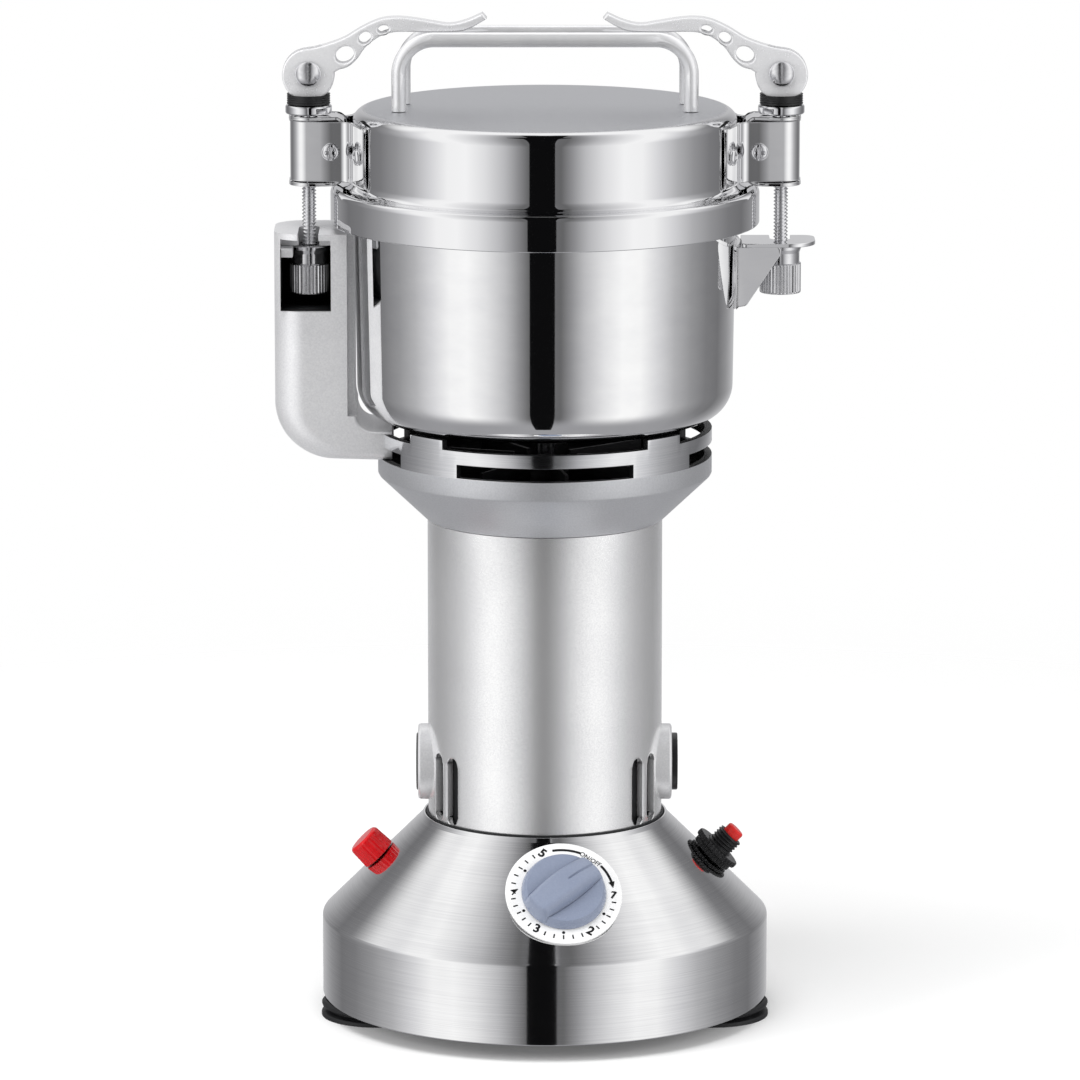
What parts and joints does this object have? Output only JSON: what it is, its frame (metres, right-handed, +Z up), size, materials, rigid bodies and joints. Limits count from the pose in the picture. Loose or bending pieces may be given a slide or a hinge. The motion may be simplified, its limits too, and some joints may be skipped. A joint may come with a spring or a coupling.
{
  "type": "hammer mill",
  "caption": "Upright bench hammer mill for grain and spice: round timer base, motor column, steel bowl with beater blades, and a lid held by lever clamps.",
  "frame": {"origin": "on the shaft axis, at the plane of the rubber feet", "axes": "+Z up along the shaft, -Y towards the operator and the timer dial, +X to the operator's right"},
  "size_m": [0.218, 0.1824, 0.4105],
  "materials": {
    "brushed_stainless": "horizontal brushed stainless sheet",
    "polished_stainless": "polished stainless sheet",
    "plated_steel": "bright plated steel",
    "cast_aluminium": "fine-grained silver cast aluminium",
    "dark_steel": "dark laminated or pressed steel",
    "bearing_steel": "ground steel",
    "black_rubber": "black rubber",
    "black_plastic": "black plastic",
    "white_plastic": "white plastic with printed black scale",
    "blue_grey_plastic": "blue-grey plastic",
    "red_plastic": "red plastic",
    "copper": "copper winding",
    "silicone": "translucent white silicone"
  },
  "bodies": {
    "base": {"base_shell": "brushed_stainless", "bottom_plate": "dark_steel", "foot_front_left": "black_rubber", "foot_front_right": "black_rubber", "foot_rear_left": "black_rubber", "foot_rear_right": "black_rubber", "dial_plate": "white_plastic", "timer_body": "black_plastic", "indicator_lamp": "red_plastic", "reset_nut": "black_plastic", "reset_body": "black_plastic", "cord_gland": "black_rubber", "motor_housing": "cast_aluminium", "brush_cap_left": "black_plastic", "brush_cap_right": "black_plastic", "brush_left": "dark_steel", "brush_right": "dark_steel", "stator": "dark_steel", "lower_end_bell": "cast_aluminium", "upper_end_bell": "cast_aluminium", "lower_bearing": "bearing_steel", "upper_bearing": "bearing_steel", "vent_collar": "cast_aluminium", "clamp_arm": "cast_aluminium", "bowl": "polished_stainless", "shaft_seal": "black_rubber", "strike_bracket": "polished_stainless"},
    "rotor": {"motor_shaft": "bearing_steel", "rotor_core": "copper", "commutator": "copper", "cooling_fan": "dark_steel", "lower_blade": "polished_stainless", "upper_blade": "polished_stainless", "blade_spacer": "polished_stainless", "blade_nut": "polished_stainless"},
    "timer": {"timer_knob": "blue_grey_plastic"},
    "reset": {"reset_button": "red_plastic"},
    "lid": {"lid": "polished_stainless", "lid_gasket": "silicone", "handle_front": "plated_steel", "handle_rear": "plated_steel", "clamp_strap_left": "polished_stainless", "clamp_strap_right": "polished_stainless", "clamp_bracket_left": "polished_stainless", "clamp_bracket_right": "polished_stainless", "pivot_screw_left": "plated_steel", "pivot_screw_right": "plated_steel", "clamp_washer_left": "plated_steel", "clamp_washer_right": "plated_steel", "lever_saddle_left": "black_plastic", "lever_saddle_right": "black_plastic", "clamp_rod_left": "plated_steel", "clamp_rod_right": "plated_steel"},
    "lever_left": {"clamp_lever_left": "brushed_stainless", "lever_pin_left": "plated_steel"},
    "nut_left": {"clamp_nut_left": "plated_steel"},
    "lever_right": {"clamp_lever_right": "brushed_stainless", "lever_pin_right": "plated_steel"},
    "nut_right": {"clamp_nut_right": "plated_steel"}
  },
  "joints": [
    {"name": "rotor_spin", "type": "hinge", "parent": "base", "child": "rotor", "pos_m": [0, 0, 0.15], "axis": [0, 0, 1], "continuous": true},
    {"name": "timer_turn", "type": "hinge", "parent": "base", "child": "timer", "pos_m": [0.00744, -0.06739, 0.0634], "axis": [-0.0776, 0.7028, -0.7071], "range_deg": [0, 300]},
    {"name": "reset_press", "type": "slide", "parent": "base", "child": "reset", "axis": [-0.7071, 0, -0.7071], "range_m": [0, 0.002], "stiffness_N_per_m": 400},
    {"name": "lid_turn", "type": "hinge", "parent": "base", "child": "lid", "pos_m": [0, 0, 0.34], "axis": [0, 0, 1], "range_deg": [0, 20]},
    {"name": "lever_flip_left", "type": "hinge", "parent": "lid", "child": "lever_left", "pos_m": [-0.095, 0, 0.3863], "axis": [0, -1, 0], "range_deg": [0, 135]},
    {"name": "nut_turn_left", "type": "hinge", "parent": "lid", "child": "nut_left", "pos_m": [-0.095, 0, 0.307], "axis": [0, 0, 1], "continuous": true},
    {"name": "lever_flip_right", "type": "hinge", "parent": "lid", "child": "lever_right", "pos_m": [0.095, 0, 0.3863], "axis": [0, 1, 0], "range_deg": [0, 135]},
    {"name": "nut_turn_right", "type": "hinge", "parent": "lid", "child": "nut_right", "pos_m": [0.095, 0, 0.307], "axis": [0, 0, 1], "continuous": true}
  ]
}
